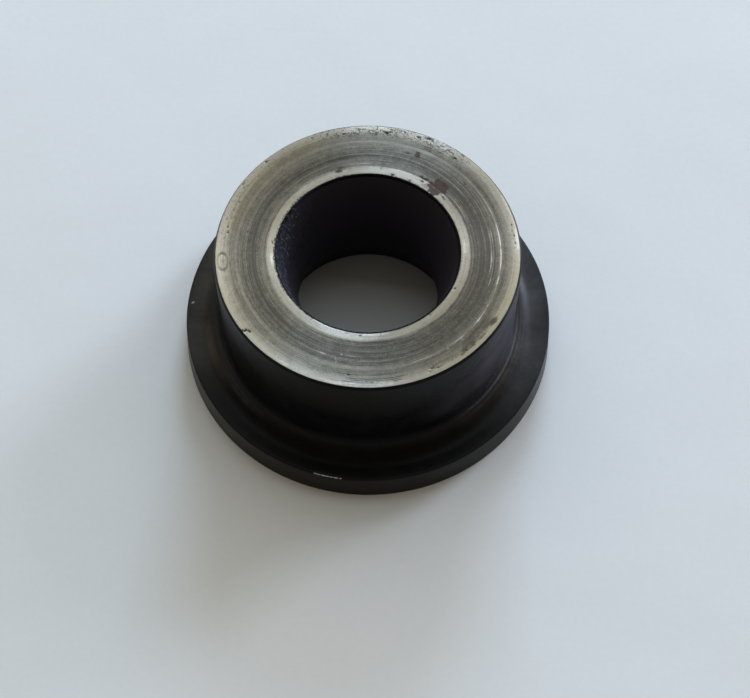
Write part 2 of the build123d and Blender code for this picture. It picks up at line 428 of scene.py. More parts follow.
def ring_lines(radius, angle, across):
    """What the single rings add to the brightness of the face, broken where they are worn."""
    total = np.zeros_like(radius)
    worn = RING_WORN + (1 - RING_WORN) * step(ring_noise(angle, across, *WORN_RINGS), *RING_WEAR)
    for place, half, start, end, change in RINGS:
        off = np.abs(radius / MM - place)
        line_strength = 1 - step(off, half * RING_CORE, half * RING_END)
        total = total + change * worn * line_strength * within(angle, start, end, RING_SOFT)
    return total


def lip_bites(radius, angle):
    """Dark bites along the steel's inner edge, most of them at the left."""
    rough = ring_noise(angle, np.zeros_like(angle), *BITES)
    bites = (1 - step(radius / MM, *BITE_RADII)) * step(rough, *BITE_NOISE)
    return bites * (BITE_LEAST + BITE_MORE * within(angle, *BITE_SPAN))


def dent_ring(radius, angle):
    """The oval ring struck into the outer land, faint in the middle of its long sides."""
    azimuth, place, around, across = DENT
    du = turned_from(angle, azimuth) * place / around
    dv = (radius / MM - place) / across
    off = np.abs(np.sqrt(du * du + dv * dv) - DENT_LINE)
    strength = DENT_FAINT + (1 - DENT_FAINT) * step(np.abs(du), *DENT_SIDES)
    return (1 - step(off, *DENT_WIDTH)) * strength


def face_marks(radius, angle):
    """The marks on the bare face as strengths, mostly from 0 to 1."""
    across = (radius - BORE_R) / (FACE_R - BORE_R)
    marks = {}
    for kind, (rows, noise, share) in MARK_KINDS.items():
        marks[kind] = blots(radius, angle, rows, share * ring_noise(angle, across, *noise))
    marks["pit"] = np.maximum(marks["pit"], lip_bites(radius, angle))
    marks["specks"] = sum(patches(radius, angle, SPECK_PATCHES))
    marks["dent"] = dent_ring(radius, angle)
    marks["groove"] = np.maximum(-ring_lines(radius, angle, across), 0.0)
    return marks


def turned_face(radius, angle, height):
    """Relief of the turned face, worked into the flat end of the sleeve."""
    on_face = (height > FACE_Z - HAIR) & (radius > BORE_R - HAIR)
    bands = np.array(FACE_BANDS)
    depth = np.interp(radius / MM, bands[:, 0], bands[:, 1])
    across = (radius - BORE_R) / (FACE_R - BORE_R)

    turns = radius / MM / FEED_PITCH + FEED_STRAY * ring_noise(angle, across, *FEED_WANDER)
    feed = 0.5 - 0.5 * np.cos(TAU * turns)
    in_band = step(radius / MM, *BAND_START) * (1 - step(radius / MM, *BAND_END))
    feed = feed * (LAND_FEED + (1 - LAND_FEED) * in_band)
    uneven = FEED_LEAST + (1 - FEED_LEAST) * ring_noise(angle, across, *FEED_UNEVEN)
    depth = depth + FEED_DEPTH * feed * uneven

    marks = face_marks(radius, angle)
    for mark, mark_depth in MARK_DEPTHS.items():
        depth = depth + mark_depth * marks[mark]
    depth = depth + DIMPLE_DEPTH * (1 + ring_noise(angle, across, *DIMPLES))
    worn = 0.5 + 0.5 * ring_noise(angle, across, *EDGE_WEAR)
    depth = depth + EDGE_WEAR_DEPTH * worn * step(radius, EDGE_WEAR_START * MM, FACE_R)
    return radius, np.where(on_face, height - depth * MM, height)


def face_layers(radius, angle, height):
    """Marks, brightness with painted light and shade by side, and warmth of the face as vertex values for
    its material.
    """
    layers = face_marks(radius, angle)
    across = (radius - BORE_R) / (FACE_R - BORE_R)
    bands = np.array(FACE_BANDS)

    shift = LAND_SHIFT + LAND_BACK_SHIFT * within(angle, *LAND_BACK)
    shift = shift + LAND_STRAY * ring_noise(angle, across * 0, *LAND_WANDER)
    shift = shift * (1 - step(radius / MM, *LAND_REACH))
    shift = shift + BAND_STRAY * ring_noise(angle, across, *BAND_WANDER)
    shift = shift + FINE_STRAY * ring_noise(angle, across, *FINE_WANDER)

    tone = np.interp(radius / MM + shift, bands[:, 0], bands[:, 2])
    tone = tone + ring_lines(radius, angle, across)
    layers["tone"] = tone + sum(patches(radius, angle, PAINTED_LIGHT_PATCHES))
    layers["warm"] = np.maximum.reduce(patches(radius, angle, WARM_PATCHES))
    return layers


# ---- the rubber moulding's surface ----

# Pale nicks along the rim's upper edge: azimuth, half length in mm
RIM_NICKS = (
    (-106.3, 0.3), (-105.2, 0.34), (-103.9, 0.42), (-102.4, 0.36), (-101.2, 0.3), (-99.8, 0.34),
    (-98.4, 0.26),
)
NICK_DEPTH = 0.06           # mm
NICK_CORE = 0.6             # the dip is full out to this share of its half length
NICK_PALE_CORE = 0.7        # and its pale colour out to this one
# Painted sheen on the rubber: pale patches that stand in for the room's light reflected at the sides of the
# wall, root, flange and rim. Azimuth, radius and height, half length around, half width along the section,
# strength
PAINTED_SHEENS = (
    (-20, 24.8, 16, 13, 13, 0.56), (-12, 25.2, 8.6, 11, 2.6, 0.14),
    (-46, 24.8, 15, 11, 10, 0.22), (-18, 26.4, 6.9, 12, 2.6, 0.17),
    (-90, 24.8, 12, 30, 5, 0.02), (22, 24.8, 15, 21, 12, 0.2),
    (198, 24.8, 22, 9, 6, 0.07), (197, 27.1, 5.8, 9.5, 0.9, 0.3),
    (196, 25.4, 7.6, 10, 1.8, 0.1), (185, 29, 5.4, 15, 3.6, 0.28),
    (150, 29, 5.4, 13, 3.6, 0.3), (-14, 29, 5.4, 17, 3.6, 0.32),
    (24, 29, 5.4, 15, 3.6, 0.5), (-90, 31.1, 2.8, 400, 3.2, 0.06),
    (200, 31.1, 2.8, 16, 3.4, 0.07),
)
SHEEN_CORE = 0.25            # a patch of painted sheen is full out to this share of its size
SHEEN_END = 1.10             # and ends here
SHEEN_RAGGED = 0.12
# Painted highlights: thin pale lines where the wall meets its root: height in mm, the degrees they span,
# strength
CREASE_HIGHLIGHTS = ((7.5, -50, -2, 0.36), (7.5, -36, -8, 0.40), (6.6, -24, 6, 0.16), (6.2, 198, 226, 0.14))
CREASE_HALF = 0.28          # mm
CREASE_NEAR = (0.4, 1.0)    # mm from its height between which its strength ends
CREASE_SOFT = 7             # degrees
# Small pale chips in the flange top: azimuth, radius, half length around, half width across, strength
FLANGE_CHIPS = (
    (175.5, 30.2, 0.16, 0.16, 1.0), (185.4, 30.2, 0.12, 0.12, 0.7), (141.0, 30.5, 0.10, 0.10, 0.6),
)

# Unevenness in mm
WALL_WAVE = 0.028
WALL_RIPPLE = 0.004
BORE_WAVE = 0.02
BORE_ROUGHNESS = 0.020
TORN_DEPTH = 0.075
SKIN_SAG = 0.05

# Where the unevenness begins and ends, in mm of height
ABOVE_FOOT = (0.6, 1.6)
BELOW_SHOULDER = (25.0, 26.0)
BELOW_LIP = (-0.9, -0.3)    # from the face
SKIN_REACH = 0.9            # down from the face
LIP_REACH = 0.2
RIM_REACH = 0.5             # mm from the rim's upper edge
ON_EDGE = 0.13              # mm from it within which it is pale
ON_FLANGE = 0.1             # mm from the flange's height

# The bore: torn at its left, a little rough at its right and least rough elsewhere
TORN_SPAN = (128, 232, 22)
TORN_RISE = (15.5, 19.0)    # mm of height between which the torn relief begins
TORN_SHADE_RISE = (13.5, 18.0)  # and its colour
MILD_SPAN = (300, 400, 25)
MILD_LEAST = 0.22
MILD_MORE = 0.25
COARSE_SHARE = 0.6          # share of the coarse noise in its roughness
# Where the painted highlights, pale flecks on the torn rubber, lie in the bore
LEFT_FLECK_SPAN = (138, 228, 16)
LEFT_FLECK_RISE = (17.0, 22.0)
RIGHT_FLECK_SPAN = (-55, 40, 20)
RIGHT_FLECK_RISE = (19.0, 23.0)
RIGHT_FLECKS = 0.35

# Noise: cells around, cells up, seed
WALL_WAVES = (22, 5, 31)
WALL_RIPPLES = (90, 18, 32)
BORE_COARSE = (260, 44, 33)
BORE_FINE = (520, 90, 34)
BORE_WAVES = (18, 6, 35)
SAG_FINE = (340, 1, 36)
SAG_BROAD = (60, 1, 37)
SHEEN_UNEVEN = (30, 12, 38)


def bore_relief(angle, height):
    """Unevenness of the bore in mm, torn rough at the left of its upper half."""
    along = height / FACE_Z
    rough = ring_noise(angle, along, *BORE_COARSE) * COARSE_SHARE
    rough = rough + ring_noise(angle, along, *BORE_FINE) * (1 - COARSE_SHARE)
    torn = within(angle, *TORN_SPAN) * step(height / MM, *TORN_RISE)
    mild = MILD_LEAST + MILD_MORE * within(angle, *MILD_SPAN)
    relief = (BORE_ROUGHNESS * mild + TORN_DEPTH * torn) * rough
    relief = relief + ring_noise(angle, along, *BORE_WAVES) * BORE_WAVE
    return relief * (1 - step((height - FACE_Z) / MM, *BELOW_LIP))


def rim_nicks(radius, angle, core):
    """1 in each nick along the rim, full out to a share of its half length."""
    nick = np.zeros_like(radius)
    for azimuth, length in RIM_NICKS:
        off = np.abs(turned_from(angle, azimuth)) * radius / MM
        nick = np.maximum(nick, 1 - step(off, length * core, length))
    return nick


def moulded_skin(radius, angle, height):
    """Small unevenness of the moulded rubber: its thin skin, walls, bore and rim."""
    outside = radius > FACE_R + HAIR
    in_bore = radius < BORE_R - HAIR
    along = height / FACE_Z
    wavy = ring_noise(angle, along, *WALL_WAVES) * WALL_WAVE
    wavy = wavy + ring_noise(angle, along, *WALL_RIPPLES) * WALL_RIPPLE
    wavy = wavy * (1 - step(height / MM, *BELOW_SHOULDER))
    bulge = np.where(in_bore, bore_relief(angle, height), np.where(outside, wavy, 0.0))
    bulge = bulge * step(height / MM, *ABOVE_FOOT)

    lip = in_bore & (height > FACE_Z - LIP_REACH * MM)
    skin = (height > FACE_Z - SKIN_REACH * MM) & (outside | lip)
    sag = ring_noise(angle, along * 0, *SAG_FINE) + ring_noise(angle, along * 0, *SAG_BROAD)
    lowered = np.where(skin, (1 + 0.5 * sag) * SKIN_SAG, 0.0)
    rim = (radius > FLANGE_EDGE_R - RIM_REACH * MM) & (height > FLANGE_Z - RIM_REACH * MM)
    lowered = lowered + rim * rim_nicks(radius, angle, NICK_CORE) * NICK_DEPTH
    return radius + bulge * MM, height - lowered * MM


def painted_sheen_strength(radius, angle, height):
    """How strong the painted sheen is on the rubber, as pale patches."""
    film = np.zeros_like(radius)
    uneven = ring_noise(angle, height / FACE_Z, *SHEEN_UNEVEN)
    for azimuth, place, level, around, across, strength in PAINTED_SHEENS:
        du = turned_from(angle, azimuth) * radius / MM / around
        dv = np.hypot(radius / MM - place, height / MM - level) / across
        size = np.sqrt(du * du + dv * dv) + SHEEN_RAGGED * uneven
        film = film + strength * (1 - step(size, SHEEN_CORE, SHEEN_END))
    return film


def crease_highlight_strength(angle, height):
    """Where the painted highlight lines at the root run, and how strong they are."""
    crease = np.zeros_like(angle)
    for level, start, end, strength in CREASE_HIGHLIGHTS:
        near = 1 - step(np.abs(height / MM - level), *CREASE_NEAR)
        crease = crease + strength * near * within(angle, start, end, CREASE_SOFT)
    return crease


def rubber_layers(radius, angle, height):
    """Where the rubber is scuffed pale or torn rough, and where painted highlights (flecks, crease lines)
    and painted sheen lie.
    """
    in_bore = radius < BORE_R - HAIR
    on_flange = np.abs(height - FLANGE_Z) < ON_FLANGE * MM
    on_edge = np.hypot(radius - FLANGE_EDGE_R, height - FLANGE_Z) < ON_EDGE * MM
    chips = blots(radius, angle, FLANGE_CHIPS, np.zeros_like(radius)) * on_flange
    torn = within(angle, *TORN_SPAN) * step(height / MM, *TORN_SHADE_RISE)
    left = within(angle, *LEFT_FLECK_SPAN) * step(height / MM, *LEFT_FLECK_RISE)
    right = within(angle, *RIGHT_FLECK_SPAN) * step(height / MM, *RIGHT_FLECK_RISE)
    return {
        "scuff": np.maximum(chips, rim_nicks(radius, angle, NICK_PALE_CORE) * on_edge),
        "torn": torn * in_bore,
        "fleck": np.maximum(left, RIGHT_FLECKS * right) * in_bore,
        "film": painted_sheen_strength(radius, angle, height) * ~in_bore,
        "crease": crease_highlight_strength(angle, height) * ~in_bore,
    }


# ---- mesh ----

SHARP_ANGLE = math.radians(40)


def revolved_mesh(name, outline, shape, layers):
    """A closed mesh of revolution whose points shape() moves and whose vertex values layers() gives."""
    angle = np.arange(SEGMENTS) * TAU / SEGMENTS
    radius = np.repeat(outline[None, :, 0], SEGMENTS, 0)
    height = np.repeat(outline[None, :, 1], SEGMENTS, 0)
    angle = np.repeat(angle[:, None], len(outline), 1)
    moved_radius, moved_height = shape(radius, angle, height)
    points = np.stack([moved_radius * np.cos(angle), moved_radius * np.sin(angle), moved_height], -1)

    index = np.arange(SEGMENTS * len(outline)).reshape(SEGMENTS, len(outline))
    beside = np.roll(index, -1, 0)
    faces = np.stack([index, np.roll(index, -1, 1), np.roll(beside, -1, 1), beside], -1).reshape(-1, 4)

    mesh = bpy.data.meshes.new(name)
    mesh.from_pydata(points.reshape(-1, 3).tolist(), [], faces.tolist())
    for layer, values in layers(radius, angle, height).items():
        attribute = mesh.attributes.new(layer, "FLOAT", "POINT")
        attribute.data.foreach_set("value", values.reshape(-1).astype(np.float32))
    mesh.polygons.foreach_set("use_smooth", [True] * len(mesh.polygons))
    return mesh


def dress(mesh, outline, materials, zone):
    """Give each ring of faces the material that zone() names for the middle of its outline's edge."""
    for material in materials:
        mesh.materials.append(material)
    middle = (outline + np.roll(outline, -1, 0)) / 2
    kinds = np.tile([zone(r, z) for r, z in middle], SEGMENTS)
    mesh.polygons.foreach_set("material_index", kinds.astype(np.int32))
    mesh.update()
    mesh.set_sharp_from_angle(angle=SHARP_ANGLE)


def place_piece(mesh, node):
    """Put a mesh in the scene, standing for one CAD node."""
    piece = bpy.data.objects.new(mesh.name, mesh)
    bpy.context.scene.collection.objects.link(piece)
    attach(piece, "root")
    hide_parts(node)


# ---- materials ----

# Steel and what covers it
STEEL_DARK = (0.095, 0.088, 0.075)
STEEL_BRIGHT = (0.41, 0.376, 0.312)
# Colour of the painted highlights (glints) on the steel
PAINTED_GLINT_COLOUR = (0.66, 0.64, 0.60)
STEEL_WARMTH = (1.0, 0.975, 0.89)
STEEL_DARK_ROUGH = 0.60
STEEL_BRIGHT_ROUGH = 0.52
STEEL_ANISOTROPY = 0.85
STEEL_ROTATION = 0.25
STAIN_BROWN = (0.088, 0.072, 0.053)
RUST_RED = (0.082, 0.046, 0.043)
RUST_DARK = (0.048, 0.030, 0.029)
PIT_BROWN = (0.034, 0.032, 0.029)
COVER_SPECULAR = 0.2
COVER_ROUGH = 0.30

# Rings of noise on the steel: rings per mm, how much they change round the face, detail
STEEL_RINGS = {"fine": (7.5, 1.6, 4.0), "medium": (2.4, 0.8, 2.0), "broad": (0.9, 0.5, 1.0)}
RING_NOISE_ROUGH = 0.6
# Blotches of noise on it: blotches per mm, detail, roughness, distortion
STEEL_BLOTCHES = {
    "cloud": (0.30, 4.0, 0.6, 0.4), "patina": (1.1, 4.0, 0.65, 0.3),
    "grain": (5.2, 4.0, 0.75, 0.0), "flecks": (3.2, 3.0, 0.7, 0.0),
}
# What each adds to the brightness, and to the bumps
STREAK_WEIGHTS = {"fine": 0.17, "medium": 0.06, "broad": 0.03, "cloud": 0.05, "patina": 0.08, "grain": 0.19}
BUMP_WEIGHTS = {"fine": 0.6, "medium": 0.6, "grain": 0.25}
STEEL_BUMP = (0.55, 0.02 * MM)      # strength, height

# How the covers and the glints come out of their values: from low, to high, giving low, giving high
STAIN_RANGE = (0.26, 1.30, 0.0, 0.88)
RUST_RANGE = (0.28, 0.72, 0.0, 0.90)
PIT_RANGE = (0.25, 0.95)
SPECK_RANGE = (0.68, 0.79)
RUST_HUES = (0.35, 0.65)
GLINT_BROKEN = (0.35, 0.60, 0.35, 1.0)
# How ragged the flecks and the patina make their edges
FLECK_SPREAD = 0.25
STAIN_RAGGED = 0.36
STAIN_PATCHY = 0.30
RUST_RAGGED = 0.45
PIT_RAGGED = 0.30
# How much each shows
SPECK_GAIN = 0.15
SPECK_SHADE = 0.85
DENT_SHADE = 0.45
SCRATCH_GAIN = 0.7
STAIN_COVER = 0.6

# Rubber
RUBBER_BLOOM = (0.0035, 0.0031, 0.0026)
RUBBER_TORN = (0.020, 0.022, 0.028)
# Colour of the painted highlight flecks in the bore
PAINTED_FLECK_HIGHLIGHT = (0.10, 0.115, 0.14)
# Painted sheen: pale colours that stand in for the room's light reflected on the rubber's sides
PAINTED_WALL_SHEEN = (0.104, 0.099, 0.126)
PAINTED_FLANGE_SHEEN = (0.092, 0.080, 0.066)
PAINTED_RIGHT_SHEEN = (0.082, 0.081, 0.086)
# Colour of the painted highlight lines at the wall's root
PAINTED_CREASE_HIGHLIGHT = (0.150, 0.152, 0.175)
SCUFF_WHITE = (0.55, 0.56, 0.55)
# Its three materials: black, specular level, roughness, colour of the painted sheen at the left and at the
# right
RUBBERS = {
    "rubber_wall": ((0.0028, 0.0026, 0.0032), 0.065, 0.30, PAINTED_WALL_SHEEN, PAINTED_WALL_SHEEN),
    "rubber_flange": ((0.0022, 0.0021, 0.0021), 0.10, 0.31, PAINTED_FLANGE_SHEEN, PAINTED_RIGHT_SHEEN),
    # The bore's black is lighter than the wall's: painted light for what the room sends into the bore
    "rubber_bore": ((0.030, 0.027, 0.038), 0.05, 0.55, PAINTED_WALL_SHEEN, PAINTED_WALL_SHEEN),
}

# Noise on the rubber: blotches per mm, detail, roughness, distortion
SMUDGE = (0.16, 4.0, 0.55, 0.6)
MOTTLE = (1.1, 3.0, 0.6)
RUBBER_GRAIN = (7.0, 3.0, 0.65)
DOTS = (2.2, 3.0, 0.65)
DOT_STRETCH = (1.0, 1.0, 0.38)      # they are drawn out along the bush's axis
# How smudge and mottle vary each layer: from low, to high, giving low, giving high
BLOOM_SMUDGE = (0.42, 0.72)
BLOOM_MOTTLE = (0.25, 0.75, 0.4, 1.0)
TORN_MOTTLE = (0.35, 0.65)
SHEEN_SMUDGE = (0.30, 0.70, 0.70, 1.25)
SHEEN_MOTTLE = (0.30, 0.70, 0.85, 1.10)
CREASE_MOTTLE = (0.35, 0.60, 0.45, 1.0)
DOT_MOTTLE = 0.05
DOT_RANGE = (0.74, 0.88)
FLECK_GAIN = 0.20
SHEEN_SIDES = (0.2, 0.8)             # cosines from +X between which the painted sheen's colour changes
ROUGH_SMUDGE = (0.3, 0.7)
ROUGH_LESS = 0.04
ROUGH_MORE = 0.06
ROUGH_GRAIN = 0.04
GRAIN_RELIEF = (0, 1, 0.35, 1.6)    # how torn the rubber is, and how strong its grain
MOTTLE_RELIEF = 0.8
RUBBER_BUMP = (0.5, 0.05 * MM)

# Paper
PAPER = (0.70, 0.72, 0.74)
PAPER_SHADE = 0.975
PAPER_ROUGH = 0.9
PAPER_SPECULAR = 0.2
# Noise in the paper: blotches per m, detail, roughness
COCKLE = (14.0, 3.0, 0.5)
PAPER_GRAIN = (900.0, 3.0, 0.6)
COCKLE_RELIEF = 60.0
PAPER_SHADES = (0.3, 0.7)
PAPER_BUMP = (0.3, 0.05 * MM)


class Nodes:
    """Short calls for building the node tree of a material or a world."""

    def __init__(self, owner, shader="Principled BSDF"):
        owner.use_nodes = True
        self.tree = owner.node_tree
        self.shader = self.tree.nodes[shader]

    def put(self, socket, value):
        if isinstance(value, bpy.types.NodeSocket):
            self.tree.links.new(value, socket)
        elif isinstance(value, tuple) and len(value) == 3 and socket.type == "RGBA":
            socket.default_value = (*value, 1)
        else:
            socket.default_value = value

    def node(self, kind, output, inputs, **settings):
        node = self.tree.nodes.new(kind)
        for key, value in settings.items():
            setattr(node, key, value)
        for key, value in inputs.items():
            self.put(node.inputs[key], value)
        return node.outputs[output]

    def math(self, operation, a, b=0.0, clamp=False):
        return self.node("ShaderNodeMath", 0, {0: a, 1: b, 2: 0.0}, operation=operation, use_clamp=clamp)

    def ramp(self, value, low, high, to_low=0.0, to_high=1.0, how="LINEAR"):
        ends = {0: value, 1: low, 2: high, 3: to_low, 4: to_high}
        return self.node("ShaderNodeMapRange", 0, ends, interpolation_type=how)

    def blend(self, factor, a, b, how="MIX"):
        return self.node("ShaderNodeMix", 2, {0: factor, 6: a, 7: b}, data_type="RGBA", blend_type=how)

    def attribute(self, name):
        return self.node("ShaderNodeAttribute", "Fac", {}, attribute_name=name)

    def noise(self, vector, scale, detail, roughness, distortion=0.0):
        inputs = {"Vector": vector, "Scale": scale, "Detail": detail}
        inputs.update({"Roughness": roughness, "Distortion": distortion})
        return self.node("ShaderNodeTexNoise", "Fac", inputs)

    def signed(self, value, weight, spread=0.2):
        """A noise value as a number from -weight to weight."""
        return self.ramp(value, 0.5 - spread, 0.5 + spread, -weight, weight)

    def total(self, terms, clamp=False):
        """The sum of some values, clamped at its end if asked."""
        result = terms[0]
        for term in terms[1:-1]:
            result = self.math("ADD", result, term)
        return self.math("ADD", result, terms[-1], clamp=clamp)

    def most(self, terms):
        result = terms[0]
        for term in terms[1:]:
            result = self.math("MAXIMUM", result, term)
        return result

    def scaled(self, value, factor):
        return self.math("MULTIPLY", value, factor)

    def bump(self, height, strength, distance):
        return self.node("ShaderNodeBump", 0, {"Strength": strength, "Distance": distance, "Height": height})

    def set(self, **values):
        for key, value in values.items():
            self.put(self.shader.inputs[key.replace("_", " ")], value)


def polar(nodes):
    """Object space in millimetres, its height, its radius, and the cosine and sine of its direction."""
    place = nodes.node("ShaderNodeTexCoord", "Object", {})
    place = nodes.node("ShaderNodeVectorMath", 0, {0: place, 3: 1 / MM}, operation="SCALE")
    parts = nodes.tree.nodes.new("ShaderNodeSeparateXYZ")
    nodes.put(parts.inputs[0], place)
    x, y, level = parts.outputs
    radius = nodes.math("ADD", nodes.math("MULTIPLY", x, x), nodes.math("MULTIPLY", y, y))
    radius = nodes.math("SQRT", radius)
    return place, level, radius, nodes.math("DIVIDE", x, radius), nodes.math("DIVIDE", y, radius)


def steel_noises(nodes, place, radius, c, s):
    """The noises of the turned face by name: its rings and its blotches."""
    noises = {}
    for name, (per_mm, wander, detail) in STEEL_RINGS.items():
        inputs = {0: nodes.scaled(radius, per_mm), 1: nodes.scaled(c, wander), 2: nodes.scaled(s, wander)}
        vector = nodes.node("ShaderNodeCombineXYZ", 0, inputs)
        noises[name] = nodes.noise(vector, 1.0, detail, RING_NOISE_ROUGH)
    for name, settings in STEEL_BLOTCHES.items():
        noises[name] = nodes.noise(place, *settings)
    return noises


def metal_colour(nodes, noises, tone):
    """Bare steel from its brightness, with olive warmth, painted highlights as bright glints, and dark
    grooves.
    """
    metal = nodes.blend(tone, STEEL_DARK, STEEL_BRIGHT)
    metal = nodes.blend(nodes.attribute("warm"), metal, STEEL_WARMTH, "MULTIPLY")
    glint = nodes.scaled(nodes.attribute("glint"), nodes.ramp(noises["flecks"], *GLINT_BROKEN))
    metal = nodes.blend(glint, metal, PAINTED_GLINT_COLOUR)
    return nodes.blend(nodes.attribute("groove"), metal, STEEL_DARK)


def cover_strengths(nodes, noises):
    """How far stains, rust and pits hide the steel, each with an edge that the flecks make ragged."""

    def ragged(mark, weight):
        return nodes.total([nodes.attribute(mark), nodes.signed(noises["flecks"], weight, FLECK_SPREAD)])

    patchy = nodes.signed(noises["patina"], STAIN_PATCHY)
    stain = nodes.ramp(nodes.total([ragged("stain", STAIN_RAGGED), patchy]), *STAIN_RANGE)
    rust = nodes.ramp(ragged("rust", RUST_RAGGED), *RUST_RANGE)
    pit = nodes.ramp(ragged("pit", PIT_RAGGED), *PIT_RANGE)
    dense = nodes.total([noises["flecks"], nodes.scaled(nodes.attribute("specks"), SPECK_GAIN)])
    speck = nodes.scaled(nodes.ramp(dense, *SPECK_RANGE), SPECK_SHADE)
    dent = nodes.scaled(nodes.attribute("dent"), DENT_SHADE)
    return stain, rust, nodes.most([pit, speck, dent])


def steel_material():
    """Turned steel: bright lands, dark tool-marked band, fine rings, rust, pits and stains."""
    material = bpy.data.materials.new("turned_steel")
    nodes = Nodes(material)
    place, _, radius, c, s = polar(nodes)
    noises = steel_noises(nodes, place, radius, c, s)

    streaks = nodes.total([nodes.signed(noises[name], weight) for name, weight in STREAK_WEIGHTS.items()])
    tone = nodes.total([nodes.attribute("tone"), streaks], clamp=True)
    scratch = nodes.scaled(nodes.attribute("scratch"), SCRATCH_GAIN)
    tone = nodes.total([tone, scratch], clamp=True)

    stain, rust, pit = cover_strengths(nodes, noises)
    colour = nodes.blend(stain, metal_colour(nodes, noises, tone), STAIN_BROWN)
    rust_colour = nodes.blend(nodes.ramp(noises["patina"], *RUST_HUES), RUST_DARK, RUST_RED)
    colour = nodes.blend(rust, colour, rust_colour)
    colour = nodes.blend(pit, colour, PIT_BROWN)

    cover = nodes.most([rust, pit, nodes.scaled(stain, STAIN_COVER)])
    rough = nodes.ramp(tone, 0.0, 1.0, STEEL_DARK_ROUGH, STEEL_BRIGHT_ROUGH)
    rough = nodes.total([rough, nodes.scaled(cover, COVER_ROUGH)], clamp=True)
    height = nodes.total([nodes.scaled(noises[name], weight) for name, weight in BUMP_WEIGHTS.items()])
    tangent = nodes.node("ShaderNodeTangent", 0, {}, direction_type="RADIAL", axis="Z")
    nodes.set(Base_Color=colour, Metallic=nodes.math("SUBTRACT", 1.0, cover), Roughness=rough,
              Normal=nodes.bump(height, *STEEL_BUMP), Tangent=tangent, Anisotropic=STEEL_ANISOTROPY,
              Anisotropic_Rotation=STEEL_ROTATION, Specular_IOR_Level=COVER_SPECULAR)
    return material


def crease_highlight_lines(nodes, level, mottle):
    """Painted highlight lines at the heights of the creases, broken by the mottle."""
    lines = 0.0
    for height in sorted({crease[0] for crease in CREASE_HIGHLIGHTS}):
        off = nodes.math("ABSOLUTE", nodes.math("SUBTRACT", level, height))
        lines = nodes.math("ADD", nodes.ramp(off, 0.0, CREASE_HALF, 1.0, 0.0), lines)
    lines = nodes.scaled(nodes.attribute("crease"), lines)
    return nodes.scaled(lines, nodes.ramp(mottle, *CREASE_MOTTLE))


def bore_flecks(nodes, place, mottle):
    """Painted highlights as pale flecks, most of them where the bore is torn."""
    upright = nodes.node("ShaderNodeVectorMath", 0, {0: place, 1: DOT_STRETCH}, operation="MULTIPLY")
    dots = nodes.total([nodes.noise(upright, *DOTS), nodes.signed(mottle, DOT_MOTTLE)])
    dots = nodes.total([dots, nodes.scaled(nodes.attribute("fleck"), FLECK_GAIN)])
    return nodes.ramp(dots, *DOT_RANGE)


def rubber_material(name, black, specular, roughness, left_sheen, right_sheen):
    """Black moulded rubber: satin, slightly dusty, with painted sheen as pale patches and painted highlights
    as pale lines and flecks, torn rough inside the bore.
    """
    material = bpy.data.materials.new(name)
    nodes = Nodes(material)
    place, level, _, c, _ = polar(nodes)
    smudge, mottle, grain = [nodes.noise(place, *noise) for noise in (SMUDGE, MOTTLE, RUBBER_GRAIN)]
    torn = nodes.attribute("torn")

    bloom = nodes.scaled(nodes.ramp(smudge, *BLOOM_SMUDGE), nodes.ramp(mottle, *BLOOM_MOTTLE))
    colour = nodes.blend(bloom, black, tuple(v + d for v, d in zip(black, RUBBER_BLOOM)))
    colour = nodes.blend(nodes.scaled(torn, nodes.ramp(mottle, *TORN_MOTTLE)), colour, RUBBER_TORN)
    film = nodes.scaled(nodes.attribute("film"), nodes.ramp(smudge, *SHEEN_SMUDGE))
    film = nodes.scaled(film, nodes.ramp(mottle, *SHEEN_MOTTLE))
    colour = nodes.blend(film, colour, nodes.blend(nodes.ramp(c, *SHEEN_SIDES), left_sheen, right_sheen))
    colour = nodes.blend(crease_highlight_lines(nodes, level, mottle), colour, PAINTED_CREASE_HIGHLIGHT)
    colour = nodes.blend(bore_flecks(nodes, place, mottle), colour, PAINTED_FLECK_HIGHLIGHT)
    colour = nodes.blend(nodes.attribute("scuff"), colour, SCUFF_WHITE)

    rough = nodes.ramp(smudge, *ROUGH_SMUDGE, roughness - ROUGH_LESS, roughness + ROUGH_MORE)
    rough = nodes.total([rough, nodes.signed(grain, ROUGH_GRAIN)])
    height = nodes.scaled(grain, nodes.ramp(torn, *GRAIN_RELIEF))
    height = nodes.total([height, nodes.scaled(mottle, MOTTLE_RELIEF)])
    nodes.set(Base_Color=colour, Roughness=rough, Normal=nodes.bump(height, *RUBBER_BUMP),
              Specular_IOR_Level=specular)
    return material


def paper_material():
    """The pale sheet under the bush, with a very faint cockle and grain."""
    material = bpy.data.materials.new("paper")
    nodes = Nodes(material)
    place = nodes.node("ShaderNodeTexCoord", "Object", {})
    cockle = nodes.noise(place, *COCKLE)
    grain = nodes.noise(place, *PAPER_GRAIN)
    shaded = tuple(PAPER_SHADE * v for v in PAPER)
    colour = nodes.blend(nodes.ramp(grain, *PAPER_SHADES), shaded, PAPER)
    height = nodes.total([nodes.scaled(cockle, COCKLE_RELIEF), grain])
    nodes.set(Base_Color=colour, Roughness=PAPER_ROUGH, Normal=nodes.bump(height, *PAPER_BUMP),
              Specular_IOR_Level=PAPER_SPECULAR)
    return material


def only_zone(radius, height):
    """The sleeve has one material all over."""
    return 0


def rubber_zone(radius, height):
    """Place in RUBBERS: the wall with the face's lips, the root with flange and rim, or the bore."""
    if radius < BORE_R + HAIR and height < LIP_BLACK_Z:
        return 2
    return 0 if height > ROOT_CREASE_Z else 1


def make_sleeve():
    outline = sleeve_outline()
    mesh = revolved_mesh("turned_sleeve", outline, turned_face, face_layers)
    dress(mesh, outline, [steel_material()], only_zone)
    place_piece(mesh, "steel_sleeve")


